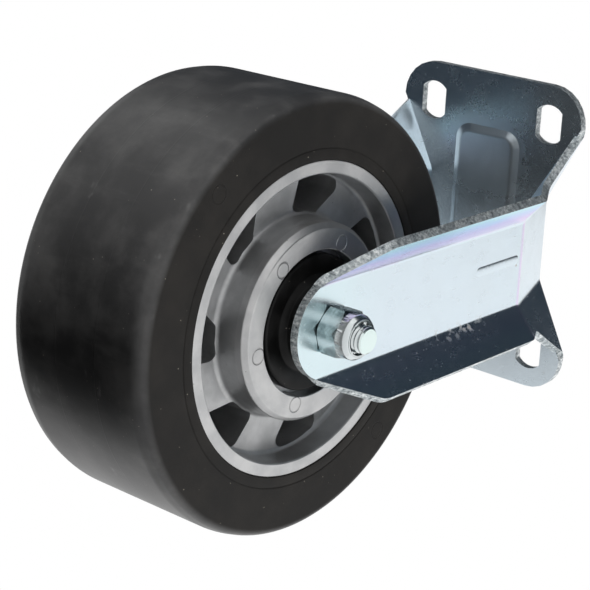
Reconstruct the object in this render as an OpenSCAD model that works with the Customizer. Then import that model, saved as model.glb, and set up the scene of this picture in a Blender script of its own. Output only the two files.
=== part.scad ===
// Fixed castor with a rubber-tyred wheel on ball bearings, in a pressed steel fork.
// Millimetres. The origin is the centre of the top plate's mounting face, +Z up.
// X is the rolling direction and Y is the axle's. The nut is on the -Y side, called near.

/* [Wheel] */
// Diameter of the wheel over the tyre
wheel_d = 125; // [118:1:130]
// Width of the tyre
tyre_w = 50; // [46:1:52]
// Radius where the tread turns into the sidewall
shoulder_r = 3.7; // [2:0.1:6]
// Diameter of the aluminium rim under the tyre, as a share of the wheel's
rim_share = 0.7136; // [0.69:0.0008:0.75]
// Radial width of the rim's visible face
rim_face = 3.75; // [2.5:0.25:4.5]
// How far the rim's face lies inside the sidewall
rim_inset = 0.3; // [0:0.1:1]
// How far outside the rim the fine groove runs round the sidewall
groove_out = 3.3; // [2.5:0.1:7]
// Width and depth of that groove
groove_w = 0.5; // [0.3:0.1:1]
// Depth of the tyre's grip in the rim, at mid-width
rim_key = 1.8; // [1:0.1:3]
// Width of the tyre's grip in the rim
rim_key_w = 26; // [16:1:32]
// Number of spokes
spokes = 6; // [5:1:8]
// Angle that one window takes between two spokes
window_angle = 25; // [18:1:30]
// Thickness of the spoked web in the valley
web_t = 20; // [14:1:24]

/* [Hub] */
// Length of the hub across its inner rims
hub_l = 55.6; // [54.6:0.2:57]
// Diameter of the hub's face
hub_d = 53.4; // [50:0.2:56]
// Diameter of the recess that the thread guard sits in
guard_seat_d = 41.4; // [40.4:0.2:43]
// Radial gap between the thread guard and the turning hub
guard_gap = 1.4; // [0.8:0.1:1.8]
// Diameter of the thread guard's centre boss
boss_d = 24; // [22:0.5:26]

/* [Bearings] */
// Bore of the ball bearings
bearing_bore = 15; // [14:0.5:16]
// Outer diameter of the ball bearings
bearing_od = 35; // [34.4:0.2:36]
// Width of one bearing
bearing_w = 11; // [10:0.5:12]
// Distance between the two bearings
bearing_span = 24; // [20:1:26]
// Diameter of the balls
ball_d = 5.95; // [5.6:0.05:6.2]
// Balls in one bearing
ball_count = 8; // [7:1:9]

/* [Fork] */
// Thickness of the fork's sheet
sheet_t = 2.5; // [2:0.25:3]
// Length of the top plate, along the rolling direction
plate_l = 100; // [96:1:110]
// Width of the top plate over its ears
plate_w = 69; // [67:1:74]
// Corner radius of the plate
plate_r = 12; // [8:0.5:14]
// Half of the length over which the legs grow out of the plate
ear_start = 34; // [31:0.5:36]
// From the mounting face down to the axle
axle_drop = 117.5; // [112:0.5:130]
// Inside distance between the two legs
fork_gap = 63; // [62:0.5:66]
// Width of a leg's flat web
leg_web = 27.2; // [24:0.2:30]
// Width of a leg's flange, along its slope
flange_w = 11.8; // [8:0.2:14]
// Angle between the flange and the web
flange_angle = 45; // [35:1:55]
// From the axle up to the fold between leg and shoulder
fold_up = 88.5; // [84:0.5:92]
// Half width of the plate at its waist, over the shoulders
waist = 23; // [22:0.25:26]
// Radius of the leg's rounded end, about the axle
tip_r = 14.3; // [12.5:0.1:15]
// From the axle up to the corner where the flange has its full width
flange_start = 15; // [12:0.5:24]
// From the axle up to the flange's upper corner
flange_end = 87.2; // [80:0.2:88]
// From the axle up to the narrow place above the flange
notch_up = 97.5; // [94:0.5:102]
// Half width of a leg at that place
notch_half = 23; // [22:0.25:25]
// Radius of the axle hole in a leg
axle_hole_r = 4.2; // [4.1:0.05:4.5]

/* [Pressings] */
// Length of the panel pressed into the plate
panel_l = 64; // [50:1:66]
// Width of that panel
panel_w = 24; // [18:1:26]
// Depth of that panel
panel_h = 1; // [0.6:0.1:1.4]
// Width of the panel's sloping edge
panel_slope = 3.5; // [2:0.25:5]
// Length of the small rib on a leg, below the fold
rib_l = 21; // [12:1:30]
// Width of that rib
rib_w = 3.4; // [2.4:0.2:5]
// Height of that rib
rib_h = 0.6; // [0.4:0.1:1]

/* [Mounting slots] */
// Distance between slots along the rolling direction
slot_x = 75; // [72:0.5:78]
// Distance between slots along the axle direction
slot_y = 45; // [43:0.5:47]
// Width of a slot
slot_w = 9.3; // [8:0.1:10]
// Length of a slot, end to end
slot_l = 12.5; // [11:0.1:14]

/* [Bolt and nut] */
// Diameter of the bolt
bolt_d = 8; // [7.6:0.1:8.2]
// Width across flats of the bolt's head and the nut
hex_af = 13; // [12.4:0.1:14]
// Height of the bolt's head
head_h = 5.3; // [4.6:0.1:6]
// Height of the nut's hexagon
nut_hex_h = 6.4; // [6:0.1:8]
// Height of the nut with its collar
nut_h = 10.3; // [9.6:0.1:11]
// How far the bolt stands out of the nut
bolt_out = 2.4; // [1.5:0.1:4]
// Turn of the nut about the bolt
nut_turn = 16; // [0:1:30]

/* [Hidden] */
$fn = 96;
eps = 0.01;
far_away = 400;

// The fork, seen from the axle: u runs sideways and w upwards
leg_y = fork_gap / 2 + sheet_t;
web_half = leg_web / 2;
tread_r = wheel_d / 2;
plate_under = axle_drop - sheet_t;
flange_dir = [cos(flange_angle), -sin(flange_angle), 0];
flange_edge = web_half + flange_w * flange_dir.x;
tip_turn = atan2(flange_start, flange_edge) - acos(tip_r / norm([flange_edge, flange_start]));
edge_round = 9;
notch_round = 5;

// The bearings
pitch_d = (bearing_bore + bearing_od) / 2;
ring_t = 2.3;
race_gap = 0.03;
bearing_in = bearing_span / 2;
bearing_out = bearing_in + bearing_w;
seal_t = 0.6;
seal_in = 0.4;
seal_gap = 0.15;
cage_w = 7.2;
cage_t = 1.3;
cage_gap = 0.08;
ball_pocket_gap = 0.05;

// The hub and its guards
hub_rim = hub_l / 2;
hub_r = hub_d / 2;
hub_edge_r = 1.6;
guard_seat_depth = 4.4;
guard_t = 2.2;
guard_r = guard_seat_d / 2 - guard_gap;
guard_sleeve_r = 9.6;
guard_skirt_t = 1.6;
guard_lip_clear = 0.5;
spacer_r = 9.6;
tube_bore = bolt_d + 0.4;
ring_seat = 0.9;

// A closed outline with a rounding radius at each corner: [x, y, radius]
function unit(v) = v / norm(v);
function corner_arc(a, p, b, steps = 5) =
    p[2] == 0 ? [[p.x, p.y]] :
    let (
        to_a = unit([a.x - p.x, a.y - p.y]),
        to_b = unit([b.x - p.x, b.y - p.y]),
        half = acos(to_a * to_b) / 2,
        cut = p[2] / tan(half),
        centre = [p.x, p.y] + unit(to_a + to_b) * p[2] / sin(half),
        from = [p.x, p.y] + to_a * cut - centre,
        to = [p.x, p.y] + to_b * cut - centre,
        start = atan2(from.y, from.x),
        turn = atan2(from.x * to.y - from.y * to.x, from * to)
    )
    [for (i = [0:steps]) centre + p[2] * [cos(start + turn * i / steps), sin(start + turn * i / steps)]];
function rounded(path) =
    let (n = len(path))
    [for (i = [0:n - 1]) each corner_arc(path[(i + n - 1) % n], path[i], path[(i + 1) % n])];

// Stands a piece on the axle's line: its own Z becomes the near side's outward direction
module on_axle() {
    translate([0, 0, -axle_drop]) rotate([90, 0, 0]) children();
}
// The same piece on the near side, or mirrored to the far side
module on_side(near) {
    if (near) on_axle() children();
    else mirror([0, 1, 0]) on_axle() children();
}
module ring(outer_r, inner_r, from, to) {
    translate([0, 0, from]) difference() {
        cylinder(r = outer_r, h = to - from);
        translate([0, 0, -1]) cylinder(r = inner_r, h = to - from + 2);
    }
}

// All space behind a plane through point p, away from its normal n
module behind(p, n) {
    translate(p) rotate([0, acos(n.z / norm(n)), atan2(n.y, n.x)])
        translate([-far_away, -far_away, -2 * far_away]) cube(2 * far_away);
}
// The planes of the near leg's outer surface; inset moves each of them towards the wheel.
// They pass through the corners of the folds, measured from the axle.
fold_corner = [web_half, -leg_y, fold_up];
flange_corner = [web_half, -leg_y, flange_end] + flange_w * flange_dir;
ear_corner = [ear_start, -plate_w / 2, plate_under];
waist_corner = [web_half, -waist, axle_drop];
function normal_of(a, b, c) = unit(cross(b - a, c - a));
function outward(n) = n.y < 0 ? n : -n;
web_n = [0, -1, 0];
flange_n = [-sin(flange_angle), -cos(flange_angle), 0];
shoulder_n = outward(normal_of(fold_corner, waist_corner, waist_corner + [1, 0, 0]));
gusset_n = outward(normal_of(fold_corner, ear_corner, waist_corner));
knee_n = outward(normal_of(fold_corner, flange_corner, ear_corner));
function flip_x(v, side) = [v.x * side, v.y, v.z];
module wheel_side(n, side, inset) {
    p = flip_x(fold_corner - n * inset, side);
    behind(p, flip_x(n, side));
}
// Everything on the wheel's side of the near leg's surface
module leg_core(inset) {
    intersection() {
        union() {
            wheel_side(web_n, 1, inset);
            for (side = [-1, 1]) wheel_side(flange_n, side, inset);
        }
        union() {
            wheel_side(shoulder_n, 1, inset);
            for (side = [-1, 1]) {
                wheel_side(gusset_n, side, inset);
                wheel_side(knee_n, side, inset);
            }
        }
    }
}
module fork_core(inset) {
    intersection() {
        leg_core(inset);
        mirror([0, 1, 0]) leg_core(inset);
        behind([0, 0, axle_drop - inset], [0, 0, 1]);
    }
}
// The legs' outline, seen along the axle
module leg_outline() {
    right = [
        [tip_r * cos(tip_turn), tip_r * sin(tip_turn), 0],
        [flange_edge, flange_start, edge_round],
        [flange_edge, flange_end, 2],
        [notch_half, notch_up, notch_round],
        [ear_start, plate_under + eps, 0],
        [ear_start, axle_drop, 0]
    ];
    left = [for (i = [len(right) - 1:-1:0]) [-right[i].x, right[i].y, right[i][2]]];
    polygon(rounded(concat(right, left)));
    circle(r = tip_r);
}
module plate_outline() {
    l = plate_l / 2;
    w = plate_w / 2;
    polygon(rounded([[l, w, plate_r], [-l, w, plate_r], [-l, -w, plate_r], [l, -w, plate_r]]));
}
// A shallow pan: its rim at z = 0 and its floor at z = -depth
module pan(shrink, depth) {
    hull() {
        linear_extrude(eps) pan_outline(shrink);
        translate([0, 0, -depth]) linear_extrude(eps) pan_outline(shrink + panel_slope);
    }
}
module pan_outline(shrink) {
    l = panel_l / 2 - shrink;
    w = panel_w / 2 - shrink;
    polygon(rounded([[l, w, 5], [-l, w, 5], [-l, -w, 5], [l, -w, 5]]));
}
module slot() {
    run = slot_l - slot_w;
    translate([0, 0, -sheet_t - 1]) linear_extrude(sheet_t + 2) {
        for (side = [-1, 1]) translate([side * run / 2, 0]) circle(d = slot_w);
        square([run, slot_w], center = true);
    }
}
// A rib along a leg: a round bar that stands out of the web by rib_h
module rib(clearance) {
    bar_r = (rib_w * rib_w / 4 + rib_h * rib_h) / (2 * rib_h);
    translate([-2, -leg_y - rib_h + bar_r + clearance, fold_up - rib_l - 1])
        cylinder(r = bar_r, h = rib_l);
}
module fork_bracket() {
    color("lightsteelblue") difference() {
        union() {
            translate([0, 0, -axle_drop]) {
                intersection() {
                    difference() {
                        fork_core(0);
                        fork_core(sheet_t);
                    }
                    union() {
                        translate([0, plate_w, 0]) rotate([90, 0, 0])
                            linear_extrude(2 * plate_w) leg_outline();
                        translate([0, 0, plate_under]) linear_extrude(sheet_t + 1) plate_outline();
                    }
                }
                for (side = [0, 1]) mirror([0, side, 0]) intersection() {
                    rib(0);
                    translate([-rib_w, -leg_y - rib_h, 0]) cube([2 * rib_w, rib_h + 1, fold_up]);
                }
            }
            translate([0, 0, -sheet_t]) pan(0, panel_h);
        }
        pan(0, panel_h);
        for (x = [-1, 1], y = [-1, 1]) translate([x * slot_x / 2, y * slot_y / 2, 0]) slot();
        on_axle() translate([0, 0, -plate_w]) cylinder(r = axle_hole_r, h = 2 * plate_w);
    }
}

module chamfered_hex(af, h, near_chamfer, far_chamfer) {
    corner_r = af / sqrt(3);
    chamfer_h = (corner_r - af / 2 * 0.96) * tan(30);
    intersection() {
        cylinder(r = corner_r, h = h, $fn = 6);
        rotate_extrude() polygon([
            [0, 0],
            [far_chamfer ? af / 2 * 0.96 : corner_r + 1, 0],
            [corner_r + (far_chamfer ? 0 : 1), far_chamfer ? chamfer_h : 0],
            [corner_r + (near_chamfer ? 0 : 1), near_chamfer ? h - chamfer_h : h],
            [near_chamfer ? af / 2 * 0.96 : corner_r + 1, h],
            [0, h]
        ]);
    }
}
module axle_bolt() {
    end = leg_y + nut_h + bolt_out;
    color("gainsboro") on_axle() {
        translate([0, 0, -leg_y]) cylinder(d = bolt_d, h = end + leg_y - 0.8);
        translate([0, 0, end - 0.8]) cylinder(r1 = bolt_d / 2, r2 = bolt_d / 2 - 0.8, h = 0.8);
        mirror([0, 0, 1]) translate([0, 0, leg_y]) chamfered_hex(hex_af, head_h, true, false);
    }
}
insert_r = bolt_d / 2 + 1.6;
insert_from = nut_hex_h - 0.4;
insert_h = nut_h - 1.2 - insert_from;
collar_r = hex_af / 2 - 0.1;
module lock_nut() {
    color("silver") on_axle() translate([0, 0, leg_y]) difference() {
        union() {
            rotate([0, 0, nut_turn]) chamfered_hex(hex_af, nut_hex_h, true, true);
            rotate_extrude() polygon(rounded([
                [0, nut_hex_h - 1, 0],
                [collar_r, nut_hex_h - 1, 0],
                [collar_r, nut_h - 0.6, 0.4],
                [collar_r - 0.8, nut_h, 0.5],
                [insert_r - 0.5, nut_h, 0.3],
                [insert_r - 0.5, nut_h - 0.6, 0],
                [0, nut_h - 0.6, 0]
            ]));
        }
        translate([0, 0, -1]) cylinder(d = bolt_d, h = nut_h + 2);
        translate([0, 0, insert_from]) cylinder(r = insert_r, h = insert_h);
        translate([0, 0, insert_from]) cylinder(r = insert_r - 0.5, h = nut_h);
    }
}
module nut_insert() {
    color("lightskyblue") on_axle() ring(insert_r, bolt_d / 2,
        leg_y + insert_from, leg_y + insert_from + insert_h);
}
module axle_tube() {
    color("darkgray") on_axle() ring(bearing_bore / 2, tube_bore / 2, -fork_gap / 2, fork_gap / 2);
}
module bearing_spacer() {
    color("slategray") on_axle() ring(spacer_r, bearing_bore / 2, -bearing_in, bearing_in);
}

// The thread guard: a disc in the hub's mouth, a boss out to the leg and a sleeve in to the bearing
module thread_guard(near) {
    face = hub_rim - 0.6;
    outer = fork_gap / 2;
    boss_r = boss_d / 2;
    bore = bearing_bore / 2;
    skirt_in = guard_r - guard_skirt_t;
    seat_floor = hub_rim - guard_seat_depth + guard_lip_clear;
    color("#1c1c1e") on_side(near) rotate_extrude() polygon(rounded([
        [bore, bearing_out, 0],
        [guard_sleeve_r, bearing_out, 0],
        [guard_sleeve_r, face - guard_t, 0.6],
        [skirt_in, face - guard_t, 0.6],
        [skirt_in, seat_floor, 0],
        [guard_r, seat_floor, 0],
        [guard_r, face, 0.7],
        [boss_r + 1.8, face - 0.5, 0.8],
        [boss_r, face + 0.9, 0.5],
        [boss_r - 0.6, outer, 0.4],
        [bore, outer, 0]
    ]));
}
module near_thread_guard() thread_guard(true);
module far_thread_guard() thread_guard(false);

// Bearing parts, along the axle from the bearing's inner face
race_r = ball_d / 2 + race_gap;
inner_land = pitch_d / 2 - ball_d * 0.32;
outer_land = pitch_d / 2 + ball_d * 0.32;
ring_edge = 0.4;
mid = bearing_in + bearing_w / 2;
module inner_ring(near) {
    color("silver") on_side(near) difference() {
        rotate_extrude() polygon(rounded([
            [bearing_bore / 2, bearing_in, 0],
            [inner_land, bearing_in, ring_edge],
            [inner_land, bearing_out, ring_edge],
            [bearing_bore / 2, bearing_out, 0]
        ]));
        translate([0, 0, mid]) rotate_extrude() translate([pitch_d / 2, 0]) circle(r = race_r);
    }
}
module outer_ring(near) {
    seal_seat = outer_land + 0.5;
    seal_floor = seal_in + seal_t;
    color("gray") on_side(near) difference() {
        rotate_extrude() polygon([
            [outer_land, bearing_in + seal_floor],
            [seal_seat, bearing_in + seal_floor],
            [seal_seat, bearing_in],
            [bearing_od / 2, bearing_in],
            [bearing_od / 2, bearing_out],
            [seal_seat, bearing_out],
            [seal_seat, bearing_out - seal_floor],
            [outer_land, bearing_out - seal_floor]
        ]);
        translate([0, 0, mid]) rotate_extrude() translate([pitch_d / 2, 0]) circle(r = race_r);
    }
}
module balls(near) {
    color("white") on_side(near) for (i = [0:ball_count - 1]) rotate(i * 360 / ball_count)
        translate([pitch_d / 2, 0, mid]) sphere(d = ball_d);
}
module cage(near) {
    color("peru") on_side(near) difference() {
        ring(pitch_d / 2 + cage_t / 2, pitch_d / 2 - cage_t / 2, mid - cage_w / 2, mid + cage_w / 2);
        for (i = [0:ball_count - 1]) rotate(i * 360 / ball_count)
            translate([0, 0, mid]) rotate([0, 90, 0])
                cylinder(r = ball_d / 2 + ball_pocket_gap, h = pitch_d);
    }
}
module seal(near, outside) {
    from = outside ? bearing_out - seal_in - seal_t : bearing_in + seal_in;
    color("#26262a") on_side(near) ring(outer_land + 0.5, inner_land + seal_gap, from, from + seal_t);
}
module near_inner_ring() inner_ring(true);
module far_inner_ring() inner_ring(false);
module near_outer_ring() outer_ring(true);
module far_outer_ring() outer_ring(false);
module near_balls() balls(true);
module far_balls() balls(false);
module near_cage() cage(true);
module far_cage() cage(false);
module near_inner_seal() seal(true, false);
module near_outer_seal() seal(true, true);
module far_inner_seal() seal(false, false);
module far_outer_seal() seal(false, true);

// Half of the wheel centre's section: radius, and distance from mid-width
rim_r = rim_share * wheel_d / 2;
groove_r = rim_r + groove_out;
rim_side = tyre_w / 2 - rim_inset;
rim_inner = rim_r - rim_face;
key_r = rim_r - rim_key;
key_half = rim_key_w / 2;
rim_draft = 2.6;
hub_draft = 2;
valley_run = rim_inner - rim_draft - hub_r - hub_draft;
valley_r = 0.47 * valley_run;
bearing_r = bearing_od / 2;
shelf_r = bearing_r - 1.9;
function both_halves(half) =
    concat(half, [for (i = [len(half) - 1:-1:0]) [half[i].x, -half[i].y, half[i][2]]]);
module centre_section() {
    polygon(rounded(both_halves([
        [shelf_r, bearing_in, 0],
        [bearing_r, bearing_in, 0],
        [bearing_r, hub_rim - guard_seat_depth, 0],
        [guard_seat_d / 2, hub_rim - guard_seat_depth, 0],
        [guard_seat_d / 2, hub_rim, 0.4],
        [hub_r - 1, hub_rim - 1, hub_edge_r],
        [hub_r + hub_draft, web_t / 2, valley_r],
        [rim_inner - rim_draft, web_t / 2, valley_r],
        [rim_inner, rim_side, 0.4],
        [rim_r, rim_side, 0],
        [rim_r, key_half, 0],
        [key_r, key_half - rim_key, 0]
    ])));
}
module window() {
    inner = hub_r + hub_draft + 0.6;
    outer = rim_inner - rim_draft + 0.8;
    a = window_angle / 2;
    corner = (outer - inner) / 4.5;
    polygon(rounded([
        [inner * cos(a), inner * sin(a), corner],
        [inner * cos(a), -inner * sin(a), corner],
        [outer * cos(a), -outer * sin(a), corner],
        [outer / cos(a) * 0.995, 0, outer * 0.3],
        [outer * cos(a), outer * sin(a), corner]
    ]));
}
module wheel_centre() {
    color("#b9bcbf") on_axle() difference() {
        rotate_extrude() centre_section();
        for (i = [0:spokes - 1]) rotate((i + 0.5) * 360 / spokes)
            translate([0, 0, -tyre_w]) linear_extrude(2 * tyre_w) window();
    }
}
module tyre() {
    side = tyre_w / 2;
    color("#2b2a29") on_axle() rotate_extrude() polygon(rounded(both_halves([
        [key_r, key_half - rim_key, 0],
        [rim_r, key_half, 0],
        [rim_r, side - 0.1, 0],
        [rim_r + 0.3, side, 0],
        [groove_r - groove_w / 2, side, 0],
        [groove_r, side - groove_w, 0],
        [groove_r + groove_w / 2, side, 0],
        [tread_r, side, shoulder_r]
    ])));
}

fork_bracket();
axle_bolt();
lock_nut();
nut_insert();
axle_tube();
bearing_spacer();
near_thread_guard();
far_thread_guard();
near_inner_ring();
near_outer_ring();
near_balls();
near_cage();
near_inner_seal();
near_outer_seal();
far_inner_ring();
far_outer_ring();
far_balls();
far_cage();
far_inner_seal();
far_outer_seal();
wheel_centre();
tyre();
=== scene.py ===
"""Fixed castor: a rubber-tyred cast wheel in a fork of blue-passivated steel sheet.

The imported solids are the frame. This script dresses them: it folds the fork's sheet with real bend
radii and cut edges, casts the wheel centre with drafts and fillets, moulds the tyre, and turns the nut
and the bolt. Lengths in the classes are millimetres, in the frame of the solids: the origin is the
centre of the mounting face, Z points up, X is the rolling direction, and the nut is on the -Y side.
"""

from __future__ import annotations

import logging
import math
from dataclasses import dataclass, field
from enum import Enum
from typing import Any, Callable, Iterable, Sequence

import bmesh
import bpy
from mathutils import Matrix, Vector

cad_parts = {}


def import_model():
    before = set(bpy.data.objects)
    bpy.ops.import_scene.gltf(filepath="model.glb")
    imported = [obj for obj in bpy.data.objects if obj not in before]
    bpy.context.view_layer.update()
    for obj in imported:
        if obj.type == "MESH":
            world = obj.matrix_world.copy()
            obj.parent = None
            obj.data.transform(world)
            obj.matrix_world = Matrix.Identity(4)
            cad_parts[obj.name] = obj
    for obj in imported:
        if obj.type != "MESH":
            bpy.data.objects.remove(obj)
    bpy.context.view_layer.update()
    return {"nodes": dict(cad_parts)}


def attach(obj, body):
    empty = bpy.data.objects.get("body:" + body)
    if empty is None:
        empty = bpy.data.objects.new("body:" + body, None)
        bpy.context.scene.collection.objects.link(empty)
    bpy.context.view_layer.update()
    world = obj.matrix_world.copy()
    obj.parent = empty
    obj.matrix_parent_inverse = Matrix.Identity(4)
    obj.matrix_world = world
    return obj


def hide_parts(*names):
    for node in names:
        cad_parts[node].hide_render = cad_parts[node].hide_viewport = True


LOG = logging.getLogger("castor")
MM = 0.001
AXLE_Z = -117.5
AXLE = Vector((0.0, 0.0, AXLE_Z))
Corner = tuple[float, float, float]
Colour = tuple[float, float, float]


class Body(Enum):
    """The bodies that pieces ride on."""

    FORK = "fork"
    WHEEL = "wheel"


class Slot(Enum):
    """The record's material slots; no piece in this script takes its finish from them."""

    FORK = "fork_zinc"
    BOLT = "bolt_zinc"
    CAST = "cast_aluminium"
    TYRE = "tyre_rubber"


# --------------------------------------------------------------------------- shader expressions


class Value:
    """A socket of a shader; arithmetic on it adds Math nodes."""

    def __init__(self, shader: Shader, socket: bpy.types.NodeSocket) -> None:
        """Wraps one output socket."""
        self.shader = shader
        self.socket = socket

    def math(self, operation: str, *others: Value | float, first: Value | float | None = None) -> Value:
        """Adds one Math node.

        Args:
            operation: The Math node's operation.
            others: The further operands.
            first: The first operand, where it isn't this value.

        Returns:
            The node's result.
        """
        operands = (self if first is None else first, *others)
        return self.shader.add("ShaderNodeMath", {"operation": operation}, dict(enumerate(operands)))

    def __add__(self, other: Value | float) -> Value:
        """Sum."""
        return self.math("ADD", other)

    def __radd__(self, other: float) -> Value:
        """Sum, with the number first."""
        return self.math("ADD", other)

    def __sub__(self, other: Value | float) -> Value:
        """Difference."""
        return self.math("SUBTRACT", other)

    def __rsub__(self, other: float) -> Value:
        """Difference, with the number first."""
        return self.math("SUBTRACT", self, first=other)

    def __mul__(self, other: Value | float) -> Value:
        """Product."""
        return self.math("MULTIPLY", other)

    def __rmul__(self, other: float) -> Value:
        """Product, with the number first."""
        return self.math("MULTIPLY", other)

    def __truediv__(self, other: Value | float) -> Value:
        """Quotient."""
        return self.math("DIVIDE", other)

    def __abs__(self) -> Value:
        """Size without sign."""
        return self.math("ABSOLUTE")

    def step(self, low: float, high: float) -> Value:
        """A smooth step from 0 at low to 1 at high; low may be the larger one."""
        settings = {"interpolation_type": "SMOOTHSTEP", "clamp": True}
        if low < high:
            return self.shader.add("ShaderNodeMapRange", settings, {0: self, 1: low, 2: high})
        return 1 - self.step(high, low)


class Shader:
    """One material in the making."""

    def __init__(self, name: str) -> None:
        """Starts an empty material."""
        self.material = bpy.data.materials.new(name)
        self.material.use_nodes = True
        self.tree = self.material.node_tree
        self.tree.nodes.clear()

    def add(
        self,
        kind: str,
        settings: dict[str, Any] | None = None,
        sockets: dict[int | str, Any] | None = None,
        output: int | str = 0,
    ) -> Value:
        """Adds one node.

        Args:
            kind: The node's type.
            settings: Its own settings, set first; "stops" are a ramp's (place, colour) pairs.
            sockets: A value or a link for each of its inputs, by name or number.
            output: Which output is wanted.

        Returns:
            That output.
        """
        node = self.tree.nodes.new(kind)
        for key, value in (settings or {}).items():
            if key == "stops":
                elements = node.color_ramp.elements
                while len(elements) < len(value):
                    elements.new(1.0)
                for element, (place, colour) in zip(elements, value):
                    element.position = place
                    element.color = (*colour, 1.0)
            else:
                setattr(node, key, value)
        for key, value in (sockets or {}).items():
            if isinstance(value, Value):
                self.tree.links.new(value.socket, node.inputs[key])
            else:
                node.inputs[key].default_value = value
        return Value(self, node.outputs[output])

    def place(self) -> Value:
        """The point on the piece, in metres."""
        return self.add("ShaderNodeTexCoord", output="Object")

    def parts(self, point: Value) -> tuple[Value, Value, Value]:
        """A point's three coordinates, in millimetres."""
        node = self.add("ShaderNodeSeparateXYZ", sockets={0: point}).socket.node
        x, y, z = (Value(self, node.outputs[i]) * 1000 for i in range(3))
        return x, y, z

    def stretched(self, point: Value, scale: Corner) -> Value:
        """The point with each axis multiplied, for long or flat grain."""
        return self.add("ShaderNodeVectorMath", {"operation": "MULTIPLY"}, {0: point, 1: scale})

    def noise(self, point: Value, size_mm: float, detail: float = 3.0, rough: float = 0.5) -> Value:
        """Cloudy noise.

        Args:
            point: Where it is read.
            size_mm: The size of its blobs.
            detail: How many finer layers it has.
            rough: How strong those are.

        Returns:
            A value about 0.5, from 0 to 1.
        """
        sockets = {"Vector": point, "Scale": 1000 / size_mm, "Detail": detail, "Roughness": rough}
        return self.add("ShaderNodeTexNoise", {"noise_dimensions": "3D"}, sockets, "Fac")

    def specks(self, point: Value, spacing_mm: float, size: float) -> Value:
        """Scattered specks: 1 inside one, 0 elsewhere; size is a share of the spacing."""
        sockets = {"Vector": point, "Scale": 1000 / spacing_mm, "Randomness": 1.0}
        near = self.add("ShaderNodeTexVoronoi", {"feature": "F1"}, sockets, "Distance")
        patchy = self.noise(point, spacing_mm * 3.1, 1.0).step(0.45, 0.62)
        return near.step(size, size * 0.6) * patchy

    def mix(self, share: Value | float, a: Value | Colour, b: Value | Colour) -> Value:
        """A colour between a, at share 0, and b, at share 1."""
        colours = [(*c, 1.0) if isinstance(c, tuple) else c for c in (a, b)]
        return self.add("ShaderNodeMix", {"data_type": "RGBA"}, {0: share, 6: colours[0], 7: colours[1]}, 2)

    def ramp(self, value: Value, stops: Sequence[tuple[float, Colour]]) -> Value:
        """A colour ramp over a value."""
        return self.add("ShaderNodeValToRGB", {"stops": stops}, {0: value}, "Color")

    def bump(self, height: Value, depth_mm: float) -> Value:
        """A normal pushed about by a height from 0 to 1."""
        return self.add("ShaderNodeBump", None, {"Height": height, "Strength": 1.0, "Distance": depth_mm * MM})

    def finish(self, **sockets: Any) -> bpy.types.Material:
        """Closes the material with a Principled shader that has these sockets set."""
        named = {key.replace("_", " ").title(): value for key, value in sockets.items()}
        surface = self.add("ShaderNodeBsdfPrincipled", None, {k.replace("Ior", "IOR"): v for k, v in named.items()})
        self.add_output(surface)
        return self.material

    def add_output(self, surface: Value) -> None:
        """Joins a surface to the material's output."""
        node = self.tree.nodes.new("ShaderNodeOutputMaterial")
        self.tree.links.new(surface.socket, node.inputs["Surface"])


def rgb(r: float, g: float, b: float) -> tuple[float, float, float, float]:
    """A colour for a socket of its own."""
    return (r, g, b, 1.0)


# --------------------------------------------------------------------------- finishes


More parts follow.
